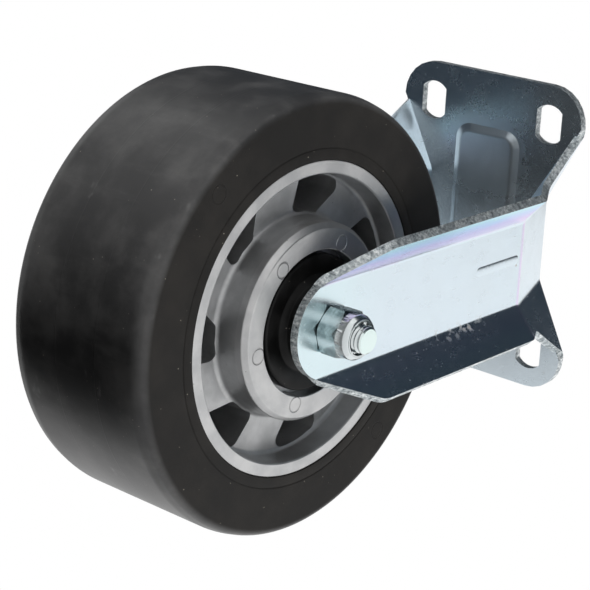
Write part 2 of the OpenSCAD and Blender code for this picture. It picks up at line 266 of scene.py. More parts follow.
@dataclass(frozen=True)
class PassivatedZinc:
    """Blue-passivated zinc on pressed sheet: a soft mirror with tints at its folds, a painted pink-violet highlight
    along the fold at the top of each leg, dust and scratches.
    """

    name: str = "passivated_zinc"
    pale: Colour = (0.76, 0.86, 0.93)
    cyan: Colour = (0.50, 0.80, 0.90)
    violet: Colour = (0.66, 0.58, 0.90)
    stain: Colour = (0.36, 0.25, 0.15)
    dust: Colour = (0.55, 0.54, 0.50)
    fold_x: float = 13.6
    flange_w: float = 8.35
    fold_z: float = AXLE_Z + 88.5

    def make(self) -> bpy.types.Material:
        """Builds the material.

        Returns:
            The material.
        """
        s = Shader(self.name)
        point = s.place()
        x, y, z = s.parts(point)
        leg = abs(y).step(32.6, 33.4) * z.step(self.fold_z + 3, self.fold_z - 1)
        across = (abs(x) - self.fold_x) / self.flange_w
        wander = (s.noise(point, 14, 2.0) - 0.5) * 0.25
        tint = s.ramp(
            (across + wander) * 0.5 + 0.25,
            [(0.0, self.pale), (0.22, self.pale), (0.30, (0.78, 0.70, 0.93)), (0.42, self.violet),
             (0.56, (0.52, 0.66, 0.93)), (0.70, self.cyan), (0.90, self.pale)],
        )
        wide = s.noise(point, 32, 2.0)
        body = s.mix(wide.step(0.35, 0.70), self.pale, (0.74, 0.83, 0.89))
        tip = z.step(self.fold_z - 62, self.fold_z - 96) * 0.55
        body = s.mix(tip, body, (0.74, 0.92, 0.94))
        # Painted highlight: a pink-violet line along the fold at the top of each leg, painted into the colour where the
        # bend catches the light.
        fold = abs(z - self.fold_z - 0.6).step(1.7, 0.3) * abs(y).step(31, 33)
        body = s.mix(fold * 0.75, body, (0.80, 0.68, 0.93))
        tinted = leg * across.step(-0.16, 0.02) * (x.step(2, -2) * 0.8 + 0.2)
        colour = s.mix(tinted, body, tint)
        rust_line = abs(x - self.fold_x).step(2.6, 0.2) * abs(z - self.fold_z + 32).step(18, 5)
        rust = rust_line * s.noise(point, 2.2, 4.0).step(0.50, 0.72) * 0.7
        spots = s.specks(point, 8.0, 0.06)
        colour = s.mix(rust + spots * 0.55, colour, self.stain)
        dust = s.specks(s.stretched(point, (1.0, 1.0, 0.83)), 1.5, 0.10)
        colour = s.mix(dust * 0.55, colour, self.dust)
        scratch = s.noise(s.stretched(point, (1.0, 1.0, 0.10)), 0.7, 4.0, 0.6)
        cloud = s.noise(point, 5.0, 3.0, 0.55)
        dull = z.step(-4.6, -4.0) * z.step(-1.2, -2.0) * abs(abs(x) - 24).step(17, 2) * abs(y).step(19, 4)
        rough = 0.17 + scratch * 0.07 + cloud * 0.10 + rust * 0.35 + dust * 0.3 + dull * 0.10
        height = scratch * 0.25 + cloud * 0.55 + s.noise(point, 22, 1.0) * 2.0
        return s.finish(
            base_color=colour, metallic=1 - (rust * 0.7 + dust * 0.6), roughness=rough, normal=s.bump(height, 0.035)
        )


@dataclass(frozen=True)
class ShearedEdge:
    """The cut edge of the sheet: torn and grey, with the plating thin on it, and a painted sparkle: near-white glints
    in its colour.
    """

    name: str = "sheared_edge"

    def make(self) -> bpy.types.Material:
        """Builds the material.

        Returns:
            The material.
        """
        s = Shader(self.name)
        point = s.place()
        grit = s.noise(point, 0.9, 4.0, 0.8)
        tear = s.noise(s.stretched(point, (1.0, 0.22, 1.0)), 1.4, 3.0, 0.7)
        # The ramp's near-white end is painted glints and painted brightness where the edge faces the light, raised past
        # the steel's own grey.
        colour = s.ramp(
            grit * 0.6 + tear * 0.4, [(0.36, (0.07, 0.08, 0.09)), (0.48, (0.45, 0.50, 0.52)), (0.60, (0.97, 1.0, 1.0))]
        )
        return s.finish(
            base_color=colour, metallic=0.9, roughness=0.24 + grit * 0.3, normal=s.bump(grit + tear * 0.7, 0.3)
        )


@dataclass(frozen=True)
class BrightZinc:
    """Bright zinc plating on a bolt and a nut, with its mottled reflections painted into its colour as dark and bright
    blotches.
    """

    name: str = "bright_zinc"
    flats: float = 13.0
    end_y: float = -46.7

    def make(self) -> bpy.types.Material:
        """Builds the material.

        Returns:
            The material.
        """
        s = Shader(self.name)
        point = s.place()
        mottle_and_painted_reflection = s.noise(point, 2.6, 4.0, 0.6)
        fine = s.noise(point, 0.5, 3.0)
        x, y, z = s.parts(point)
        radius = (x * x + (z - AXLE_Z) * (z - AXLE_Z)).math("SQRT")
        turned = radius.step(self.flats / 2 + 0.3, self.flats / 2 - 0.1)
        # Painted reflection: dark and bright blotches in the colour stand in for the mottled reflections of the plated
        # metal.
        colour = s.ramp(mottle_and_painted_reflection, [(0.30, (0.17, 0.21, 0.22)), (0.52, (0.33, 0.40, 0.41)), (0.74, (0.60, 0.68, 0.68))])
        colour = s.mix(turned, colour, (0.74, 0.79, 0.80))
        end = y.step(self.end_y + 0.5, self.end_y + 0.2)
        colour = s.mix(end, colour, (0.80, 0.93, 0.91))
        colour = s.mix(s.specks(point, 2.4, 0.12) * 0.5, colour, (0.20, 0.18, 0.14))
        return s.finish(
            base_color=colour, metallic=1.0, roughness=0.12 + mottle_and_painted_reflection * 0.14 + fine * 0.05,
            normal=s.bump((mottle_and_painted_reflection * 1.5 + fine * 0.4) * (1 - end), 0.035),
        )


@dataclass(frozen=True)
class TyreRubber:
    """Solid black rubber: grain, a grey bloom on the tread, a parting line and ejector marks."""

    name: str = "tyre_rubber"
    parting_y: float = 7.5
    marks: tuple[tuple[float, float], ...] = ((-131.0, 56.0), (51.0, 54.0))
    mark_r: float = 2.5

    def make(self) -> bpy.types.Material:
        """Builds the material.

        Returns:
            The material.
        """
        s = Shader(self.name)
        point = s.place()
        x, y, z = s.parts(point)
        radius = (x * x + (z - AXLE_Z) * (z - AXLE_Z)).math("SQRT")
        tread = radius.step(59.5, 61.6)
        bloom = s.noise(point, 17, 5.0, 0.6)
        streak = s.noise(s.stretched(point, (1.0, 0.25, 1.0)), 5.0, 4.0, 0.65)
        grain = s.noise(point, 0.42, 3.0, 0.7)
        wall = s.mix(bloom.step(0.35, 0.75), (0.010, 0.0095, 0.009), (0.018, 0.0165, 0.015))
        face = s.mix(
            bloom.step(0.38, 0.72) * 0.7 + streak.step(0.5, 0.8) * 0.3, (0.020, 0.020, 0.0205), (0.072, 0.071, 0.070)
        )
        colour = s.mix(tread, wall, face)
        scuff = s.noise(s.stretched(point, (0.8, 1.3, 0.8)), 9, 3.0, 0.6).step(0.66, 0.80) * tread
        colour = s.mix(scuff * 0.45, colour, (0.20, 0.20, 0.20))
        dust = s.specks(point, 2.6, 0.075)
        lint = s.specks(s.stretched(point, (1.0, 1.0, 0.3)), 5.0, 0.035)
        colour = s.mix(dust * 0.6 + lint * 0.5, colour, (0.36, 0.33, 0.28))
        line = abs(abs(y) - self.parting_y).step(0.35, 0.05) * tread
        rings: Value | float = 0.0
        for angle, r in self.marks:
            a = math.radians(angle)
            dx, dz = x - r * math.sin(a), z - (AXLE_Z + r * math.cos(a))
            rings = rings + abs((dx * dx + dz * dz).math("SQRT") - self.mark_r).step(0.22, 0.04)
        height = grain * 0.35 + s.noise(point, 2.4, 3.0) * 0.5 + line * 1.2 - rings * 2.2
        return s.finish(
            base_color=colour, roughness=0.50 + bloom * 0.14 + grain * 0.10 + dust * 0.2,
            specular_ior_level=0.18, coat_weight=tread * 0.9, coat_roughness=0.42, normal=s.bump(height, 0.055),
        )


@dataclass(frozen=True)
class CastAluminium:
    """Die-cast aluminium, with turned faces on the rim and the hub and a sandy skin elsewhere."""

    name: str = "cast_aluminium"
    rim_face_y: float = 24.3
    mark_r: float = 2.2
    mark_at: float = 22.9
    marks: tuple[float, ...] = (-66.0, -128.0, 170.0, 107.0, 45.0)

    def make(self) -> bpy.types.Material:
        """Builds the material.

        Returns:
            The material.
        """
        s = Shader(self.name)
        point = s.place()
        x, y, z = s.parts(point)
        radius = (x * x + (z - AXLE_Z) * (z - AXLE_Z)).math("SQRT")
        turned = abs(y).step(self.rim_face_y - 0.25, self.rim_face_y)
        sand = s.noise(point, 0.7, 3.0, 0.65)
        cloud = s.noise(point, 9, 4.0, 0.55)
        lathe = (radius * 9.0 + cloud * 2.0).math("SINE") * 0.5 + 0.5
        skin = s.mix(cloud.step(0.32, 0.70), (0.42, 0.425, 0.43), (0.56, 0.565, 0.57))
        cut = s.mix(cloud.step(0.35, 0.70), (0.48, 0.485, 0.49), (0.60, 0.60, 0.60))
        colour = s.mix(turned, skin, cut)
        rings: Value | float = 0.0
        for angle in self.marks:
            a = math.radians(angle)
            dx, dz = x - self.mark_at * math.sin(a), z - (AXLE_Z + self.mark_at * math.cos(a))
            rings = rings + abs((dx * dx + dz * dz).math("SQRT") - self.mark_r).step(0.30, 0.05)
        rings = rings * y.step(-20, -24)
        colour = s.mix(rings * 0.45, colour, (0.20, 0.20, 0.20))
        colour = s.mix(s.specks(point, 3.4, 0.07) * 0.5, colour, (0.16, 0.14, 0.12))
        height = sand * 0.6 + cloud * 0.8 + lathe * turned * 0.10 - rings * 3.0
        return s.finish(
            base_color=colour, metallic=0.94, roughness=0.40 + sand * 0.10 - turned * 0.09, normal=s.bump(height, 0.05)
        )


@dataclass(frozen=True)
class Moulding:
    """Moulded plastic or rubber, satin, with a fine spark-eroded grain."""

    name: str
    colour: Colour
    rough: float = 0.42
    grain_mm: float = 0.35
    depth: float = 0.02

    def make(self) -> bpy.types.Material:
        """Builds the material.

        Returns:
            The material.
        """
        s = Shader(self.name)
        point = s.place()
        grain = s.noise(point, self.grain_mm, 3.0, 0.6)
        cloud = s.noise(point, 7, 3.0)
        r, g, b = self.colour
        colour = s.mix(cloud.step(0.35, 0.7), self.colour, (r * 1.5 + 0.004, g * 1.5 + 0.004, b * 1.5 + 0.004))
        colour = s.mix(s.specks(point, 2.2, 0.08) * 0.5, colour, (0.30, 0.28, 0.25))
        return s.finish(
            base_color=colour, roughness=self.rough + cloud * 0.12 + grain * 0.05,
            specular_ior_level=0.12, normal=s.bump(grain, self.depth),
        )


@dataclass(frozen=True)
class Steel:
    """Machined steel with turning marks round the axle."""

    name: str
    colour: Colour
    rough: float = 0.22
    lathe: float = 0.02

    def make(self) -> bpy.types.Material:
        """Builds the material.

        Returns:
            The material.
        """
        s = Shader(self.name)
        point = s.place()
        x, y, z = s.parts(point)
        radius = (x * x + (z - AXLE_Z) * (z - AXLE_Z)).math("SQRT")
        marks = ((radius + y) * 14).math("SINE") * 0.5 + 0.5
        cloud = s.noise(point, 4, 4.0, 0.6)
        r, g, b = self.colour
        colour = s.mix(cloud.step(0.35, 0.75), self.colour, (r * 0.82, g * 0.82, b * 0.82))
        return s.finish(
            base_color=colour, metallic=1.0, roughness=self.rough + cloud * 0.12,
            normal=s.bump(marks * 0.5 + cloud, self.lathe),
        )


# --------------------------------------------------------------------------- mesh work


def rounded(path: Sequence[Corner], steps: int = 4) -> list[tuple[float, float]]:
    """Rounds the corners of a closed outline.

    Args:
        path: Each corner's two coordinates and its radius.
        steps: The segments of each rounding.

    Returns:
        The outline's points.
    """
    points: list[tuple[float, float]] = []
    for i, (px, py, radius) in enumerate(path):
        here = Vector((px, py))
        if radius <= 0:
            points.append((px, py))
            continue
        before, after = Vector(path[i - 1][:2]) - here, Vector(path[(i + 1) % len(path)][:2]) - here
        before.normalize()
        after.normalize()
        half = before.angle(after) / 2
        centre = here + (before + after).normalized() * radius / math.sin(half)
        start, end = here + before * radius / math.tan(half) - centre, here + after * radius / math.tan(half) - centre
        turn = math.atan2(start.x * end.y - start.y * end.x, start.dot(end))
        first = math.atan2(start.y, start.x)
        for k in range(steps + 1):
            a = first + turn * k / steps
            points.append((centre.x + radius * math.cos(a), centre.y + radius * math.sin(a)))
    return points


class Workpiece:
    """A mesh in the making, in millimetres."""

    def __init__(self) -> None:
        """Starts an empty mesh."""
        self.bm = bmesh.new()

    def face(self, corners: Iterable[Sequence[float]]) -> bmesh.types.BMFace:
        """One face through these points."""
        return self.bm.faces.new([self.bm.verts.new(c) for c in corners])

    def revolve(self, outline: Sequence[tuple[float, float]], near: bool = True, steps: int = 96) -> None:
        """Revolves a closed outline about the axle.

        Args:
            outline: Pairs of radius and distance from mid-width, outwards.
            near: Whether outwards is towards the nut's side.
            steps: The steps of the full turn.
        """
        side = -1 if near else 1
        face = self.face([(0.0, side * out, AXLE_Z + max(r, 0.0)) for r, out in outline])
        edges = list(face.edges)
        verts = list(face.verts)
        self.bm.faces.remove(face)
        bmesh.ops.spin(
            self.bm, geom=verts + edges, cent=AXLE, axis=(0, 1, 0), dvec=(0, 0, 0),
            angle=math.tau, steps=steps, use_merge=True, use_normal_flip=False, use_duplicate=False,
        )
        self.weld()

    def weld(self, distance: float = 0.001) -> None:
        """Merges doubles and turns the faces outwards."""
        bmesh.ops.remove_doubles(self.bm, verts=self.bm.verts, dist=distance)
        loose = [v for v in self.bm.verts if not v.link_faces]
        bmesh.ops.delete(self.bm, geom=loose, context="VERTS")
        bmesh.ops.dissolve_degenerate(self.bm, edges=self.bm.edges, dist=distance)
        bmesh.ops.recalc_face_normals(self.bm, faces=self.bm.faces)

    def bevel(self, edges: Sequence[bmesh.types.BMEdge], offset: float, segments: int) -> None:
        """Rounds these edges."""
        bmesh.ops.bevel(
            self.bm, geom=list(edges), offset=offset, offset_type="OFFSET", segments=segments,
            profile=0.5, affect="EDGES", clamp_overlap=True, material=-1, loop_slide=True,
        )

    def prism(self, outline: Sequence[Sequence[float]], along: Vector) -> None:
        """Extrudes a flat outline.

        Args:
            outline: The outline's points in space.
            along: The way and distance that it is extruded.
        """
        base = self.face(outline)
        made = bmesh.ops.extrude_face_region(self.bm, geom=[base], use_keep_orig=True)
        top = [g for g in made["geom"] if isinstance(g, bmesh.types.BMVert)]
        bmesh.ops.translate(self.bm, verts=top, vec=along)
        bmesh.ops.recalc_face_normals(self.bm, faces=self.bm.faces)

    def raw(self, name: str) -> bpy.types.Object:
        """The mesh as an object, still in millimetres."""
        mesh = bpy.data.meshes.new(name)
        self.bm.to_mesh(mesh)
        self.bm.free()
        obj = bpy.data.objects.new(name, mesh)
        bpy.context.scene.collection.objects.link(obj)
        return obj


def apply_modifiers(obj: bpy.types.Object) -> None:
    """Makes what the object's modifiers show its own mesh."""
    graph = bpy.context.evaluated_depsgraph_get()
    graph.update()
    mesh = bpy.data.meshes.new_from_object(obj.evaluated_get(graph))
    obj.modifiers.clear()
    obj.data = mesh


def combine(obj: bpy.types.Object, tool: bpy.types.Object, operation: str) -> None:
    """Cuts or joins one closed mesh with another, which is used up.

    Args:
        obj: The piece that is changed.
        tool: The mesh that it is combined with.
        operation: DIFFERENCE, UNION or INTERSECT.
    """
    modifier = obj.modifiers.new("combine", "BOOLEAN")
    modifier.operation = operation
    modifier.solver = "EXACT"
    modifier.object = tool
    apply_modifiers(obj)
    bpy.data.objects.remove(tool)


def complete(
    obj: bpy.types.Object, body: Body, materials: Sequence[bpy.types.Material], replaced: Sequence[str],
    edge: float = 0.0, edge_angle: float = 40.0, segments: int = 2,
) -> bpy.types.Object:
    """Sets a finished mesh in metres, rounds its sharp edges and puts it on its body.

    Args:
        obj: The piece, in millimetres.
        body: The body that it rides on.
        materials: Its materials, in the order of its face indices.
        replaced: The solids that it stands for.
        edge: The rounding of edges sharper than edge_angle, in millimetres.
        edge_angle: That angle, in degrees.
        segments: The segments of that rounding.

    Returns:
        The piece.
    """
    obj.data.transform(Matrix.Scale(MM, 4))
    for material in materials[len(obj.data.materials):]:
        obj.data.materials.append(material)
    obj.data.shade_smooth()
    if edge > 0:
        rounding = obj.modifiers.new("edges", "BEVEL")
        rounding.width = edge * MM
        rounding.segments = segments
        rounding.limit_method = "ANGLE"
        rounding.angle_limit = math.radians(edge_angle)
        rounding.use_clamp_overlap = True
    shading = obj.modifiers.new("shading", "WEIGHTED_NORMAL")
    shading.weight = 80
    shading.keep_sharp = True
    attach(obj, body.value)
    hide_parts(*replaced)
    LOG.info("%s rides on %s, %d faces", obj.name, body.value, len(obj.data.polygons))
    return obj


# --------------------------------------------------------------------------- the fork


@dataclass
class ForkBracket:
    """The fork: one sheet, folded from the top plate through shoulders and gussets into two legs."""

    sheet: float = 2.5
    leg_y: float = 34.0
    web_half: float = 13.6
    flange_w: float = 11.8
    flange_angle: float = 45.0
    fold_up: float = 88.5
    waist: float = 23.0
    tip_r: float = 14.3
    flange_start: float = 15.0
    flange_end: float = 87.2
    edge_r: float = 9.0
    notch_up: float = 97.5
    notch_w: float = 8.2
    bend_up: float = 111.5
    ear_x: float = 34.0
    plate_half_l: float = 50.0
    plate_half_w: float = 34.5
    plate_r: float = 12.0
    panel_half_l: float = 32.0
    panel_half_w: float = 12.0
    panel_slope: float = 2.4
    panel_depth: float = 1.0
    leg_bend: float = 1.35
    plate_bend: float = 3.3
    slot_at: tuple[float, float] = (37.5, 22.5)
    slot_size: tuple[float, float] = (12.5, 9.3)
    axle_hole_r: float = 4.2
    rib_x: float = -2.0
    rib_from: float = 67.0
    rib_bar_r: float = 1.75
    rib_flat: float = 0.2
    rib_high: float = 0.16
    drop: float = -AXLE_Z
    folds: list[Vector] = field(default_factory=list)

    def point(self, x: float, y: float, up: float) -> Vector:
        """A point from its height above the axle."""
        return Vector((x, y, AXLE_Z + up))

    def on_flange(self, s: float, up: float, inward: float = 0.0) -> Vector:
        """A point on the near right flange: s across it from the fold, and inward along its normal."""
        a = math.radians(self.flange_angle)
        x = self.web_half + s * math.cos(a) + inward * math.sin(a)
        y = -self.leg_y - s * math.sin(a) + inward * math.cos(a)
        return self.point(x, y, up)

    def on_plane(self, s: float, up: float, plane: tuple[Vector, Vector]) -> Vector:
        """Where the flange's normal through (s, up) meets a plane, given as a point and a normal."""
        start, end = self.on_flange(s, up), self.on_flange(s, up, 1.0)
        way = end - start
        return start + way * ((plane[0] - start).dot(plane[1]) / way.dot(plane[1]))

    def quarter(self, piece: Workpiece) -> None:
        """The outer surface of the near right quarter, with sharp folds.

        Args:
            piece: The mesh that gets the faces.
        """
        top = self.drop
        p1 = self.point(self.web_half, -self.leg_y, self.fold_up)
        p0 = self.point(0, -self.leg_y, self.fold_up)
        t0 = self.point(0, -self.waist, top)
        t1 = self.point(self.web_half, -self.waist, top)
        corner = self.on_flange(self.flange_w, self.flange_end)
        ear = self.point(self.ear_x, -self.plate_half_w, top - self.sheet)
        gusset = (p1, (ear - p1).cross(t1 - p1))
        reach = (p1 - self.point(0, -self.plate_half_w, top)).dot(gusset[1]) / gusset[1].x
        ear_top = self.point(reach, -self.plate_half_w, top)
        climb = (self.bend_up - self.notch_up) / (top - self.notch_up)
        bend_s = self.notch_w + (self.ear_run(ear_top) - self.notch_w) * climb
        bend_end = self.on_plane(bend_s, self.bend_up, gusset)
        knee = (p1, (corner - p1).cross(bend_end - p1))
        edge_v = Vector((self.web_half + self.flange_w, self.flange_start))
        turn = math.atan2(edge_v.y, edge_v.x) - math.acos(self.tip_r / edge_v.length)
        tangent = Vector((math.cos(turn), math.sin(turn))) * self.tip_r
        share = (self.web_half - tangent.x) / (edge_v.x - tangent.x)
        low = tangent.y + share * (edge_v.y - tangent.y)
        tip = [(self.tip_r * math.cos(a), self.tip_r * math.sin(a))
               for a in (-math.pi / 2 + k * (turn + math.pi / 2) / 12 for k in range(13))]
        fold_foot = self.point(self.web_half, -self.leg_y, low)
        piece.face([p0, *(self.point(x, -self.leg_y, z) for x, z in tip), fold_foot, p1])
        taper = rounded([
            (0.0, low, 0), (self.flange_w, self.flange_start, self.edge_r), (self.flange_w, self.flange_end, 0),
        ], 8)
        piece.face([p1, *(self.on_flange(s, z) for s, z in taper)])
        notch = rounded([
            (self.flange_w, self.flange_end, 0), (self.notch_w, self.notch_up, 5.0), (bend_s, self.bend_up, 0),
        ], 6)[1:-1]
        piece.face([p1, corner, *(self.on_plane(s, z, knee) for s, z in notch), bend_end])
        piece.face([p1, bend_end, ear_top, t1])
        piece.face([p1, t1, t0, p0])
        self.plate_quarter(piece, t0, t1, ear_top)

    def ear_run(self, ear: Vector) -> float:
        """How far across the flange's direction the ear's corner lies."""
        a = math.radians(self.flange_angle)
        return (ear.x - self.web_half) * math.cos(a) - (ear.y + self.leg_y) * math.sin(a)

    def plate_quarter(self, piece: Workpiece, t0: Vector, t1: Vector, ear: Vector) -> None:
        """The near right quarter of the plate, with its sunk panel.

        Args:
            piece: The mesh that gets the faces.
            t0: The fold's point at mid-length.
            t1: The fold's corner at the shoulder.
            ear: The fold's corner at the ear.
        """
        l, w, r = self.plate_half_l, self.plate_half_w, self.plate_r
        rim = [(l, -w + r), *self.arc(l - r, -w + r, r), (l - r, -w)]
        outer = [(self.panel_half_l, 0.0), *self.arc(self.panel_half_l - 5, -self.panel_half_w + 5, 5), (0.0, -self.panel_half_w)]
        il, iw = self.panel_half_l - self.panel_slope, self.panel_half_w - self.panel_slope
        inner = [(il, 0.0), *self.arc(il - 3, -iw + 3, 3), (0.0, -iw)]
        top = [Vector((x, y, 0.0)) for x, y in outer]
        floor = [Vector((x, y, -self.panel_depth)) for x, y in inner]
        piece.face([*top, t0, t1, ear, *(Vector((x, y, 0.0)) for x, y in reversed(rim[1:])), Vector((l, 0.0, 0.0))])
        for a, b, c, d in zip(top, top[1:], floor[1:], floor):
            piece.face([a, b, c, d])
        piece.face([*floor, Vector((0.0, 0.0, -self.panel_depth))])

    def arc(self, x: float, y: float, r: float, steps: int = 6) -> list[tuple[float, float]]:
        """A quarter circle from +X to -Y about a centre."""
        return [(x + r * math.cos(a), y - r * math.sin(a)) for a in (math.pi / 2 * k / steps for k in range(steps + 1))]

    def fold_sheet(self, finishes: Sequence[bpy.types.Material]) -> bpy.types.Object:
        """Folds the sheet: quarter, mirrors, bends and thickness.

        Args:
            finishes: The finish of the sheet's two sides, and that of its cut edges.

        Returns:
            The folded sheet, without its slots.
        """
        piece = Workpiece()
        self.quarter(piece)
        for axis in ("X", "Y"):
            bmesh.ops.mirror(piece.bm, geom=piece.bm.verts[:] + piece.bm.edges[:] + piece.bm.faces[:],
                             matrix=Matrix.Identity(4), merge_dist=0.001, axis=axis)
            bmesh.ops.remove_doubles(piece.bm, verts=piece.bm.verts, dist=0.002)
        bmesh.ops.recalc_face_normals(piece.bm, faces=piece.bm.faces)
        if max(piece.bm.faces, key=lambda f: f.calc_center_median().z).normal.z < 0:
            bmesh.ops.reverse_faces(piece.bm, faces=piece.bm.faces)
        plate_folds = [e for e in piece.bm.edges if not e.is_boundary and self.on_plate_fold(e)]
        piece.bevel(plate_folds, self.plate_bend, 5)
        corners = [v for v in piece.bm.verts if self.is_fold_corner(v.co)]
        piece.bevel({e for v in corners for e in v.link_edges}, self.leg_bend, 4)
        panel = [e for e in piece.bm.edges if self.on_panel(e)]
        piece.bevel(panel, 0.4, 2)
        bmesh.ops.dissolve_degenerate(piece.bm, edges=piece.bm.edges, dist=0.002)
        obj = piece.raw("folded_fork")
        for material in finishes:
            obj.data.materials.append(material)
        wall = obj.modifiers.new("sheet", "SOLIDIFY")
        wall.thickness = self.sheet
        wall.offset = -1.0
        wall.use_even_offset = True
        wall.use_rim = True
        wall.material_offset_rim = 1
        apply_modifiers(obj)
        return obj

    def on_plate_fold(self, edge: bmesh.types.BMEdge) -> bool:
        """Whether an edge is where the plate turns into a shoulder or a gusset."""
        flat = all(abs(v.co.z) < 0.01 for v in edge.verts)
        return flat and edge.calc_face_angle(0.0) > math.radians(30)

    def is_fold_corner(self, place: Vector) -> bool:
        """Whether a point is the corner where a leg's five folds meet."""
        return (Vector((abs(place.x), -abs(place.y), place.z)) - self.point(self.web_half, -self.leg_y, self.fold_up)).length < 0.2

    def on_panel(self, edge: bmesh.types.BMEdge) -> bool:
        """Whether an edge is a fold of the panel's sloping border."""
        inside = all(abs(v.co.y) < self.panel_half_w + 0.1 and abs(v.co.x) < self.panel_half_l + 0.1 for v in edge.verts)
        return inside and edge.calc_face_angle(0.0) > math.radians(8) and all(v.co.z > -1.5 for v in edge.verts)

    def slot_outline(self, x: float, y: float) -> list[Vector]:
        """A slot's outline above the plate: a round hole with two flats."""
        length, width = self.slot_size
        r = length / 2
        reach = math.asin(width / length)
        turns = [reach * (k / 8 - 1) for k in range(17)]
        right = [(x + r * math.cos(a), y + r * math.sin(a)) for a in turns]
        left = [(x - r * math.cos(a), y - r * math.sin(a)) for a in turns]
        return [Vector((px, py, 3.0)) for px, py in right + left]

    def holes(self) -> bpy.types.Object:
        """The slots and the axle's hole as one cutting mesh."""
        piece = Workpiece()
        for x in (-self.slot_at[0], self.slot_at[0]):
            for y in (-self.slot_at[1], self.slot_at[1]):
                piece.prism(self.slot_outline(x, y), Vector((0, 0, -8)))
        bmesh.ops.create_cone(
            piece.bm, cap_ends=True, segments=48, radius1=self.axle_hole_r, radius2=self.axle_hole_r, depth=90,
            matrix=Matrix.Translation(AXLE) @ Matrix.Rotation(math.pi / 2, 4, "X"),
        )
        bmesh.ops.recalc_face_normals(piece.bm, faces=piece.bm.faces)
        for face in piece.bm.faces:
            face.material_index = 1
        return piece.raw("holes")

    def rib(self, side: int) -> bpy.types.Object:
        """The small rib on one leg: a capsule that stands a little out of the web."""
        piece = Workpiece()
        run = self.fold_up - self.rib_from - 3.0
        bmesh.ops.create_uvsphere(piece.bm, u_segments=40, v_segments=20, radius=self.rib_bar_r)
        bmesh.ops.scale(piece.bm, vec=(1.0, self.rib_flat, 1.0), verts=piece.bm.verts)
        upper = [v for v in piece.bm.verts if v.co.z > 0.01]
        bmesh.ops.translate(piece.bm, verts=upper, vec=(0, 0, run))
        y = side * (self.leg_y + self.rib_high - self.rib_bar_r * self.rib_flat)
        bmesh.ops.translate(piece.bm, verts=piece.bm.verts, vec=self.point(self.rib_x, y, self.rib_from))
        return piece.raw("rib")

    def build(self, sheet: bpy.types.Material, cut: bpy.types.Material) -> None:
        """Makes the fork and puts it in place.

        Args:
            sheet: The finish of the sheet's two sides.
            cut: The finish of its sheared edges.
        """
        obj = self.fold_sheet([sheet, cut])
        combine(obj, self.rib(-1), "UNION")
        combine(obj, self.rib(1), "UNION")
        combine(obj, self.holes(), "DIFFERENCE")
        complete(obj, Body.FORK, [sheet, cut], ["fork_bracket"], edge=0.22, edge_angle=55)


# --------------------------------------------------------------------------- the wheel


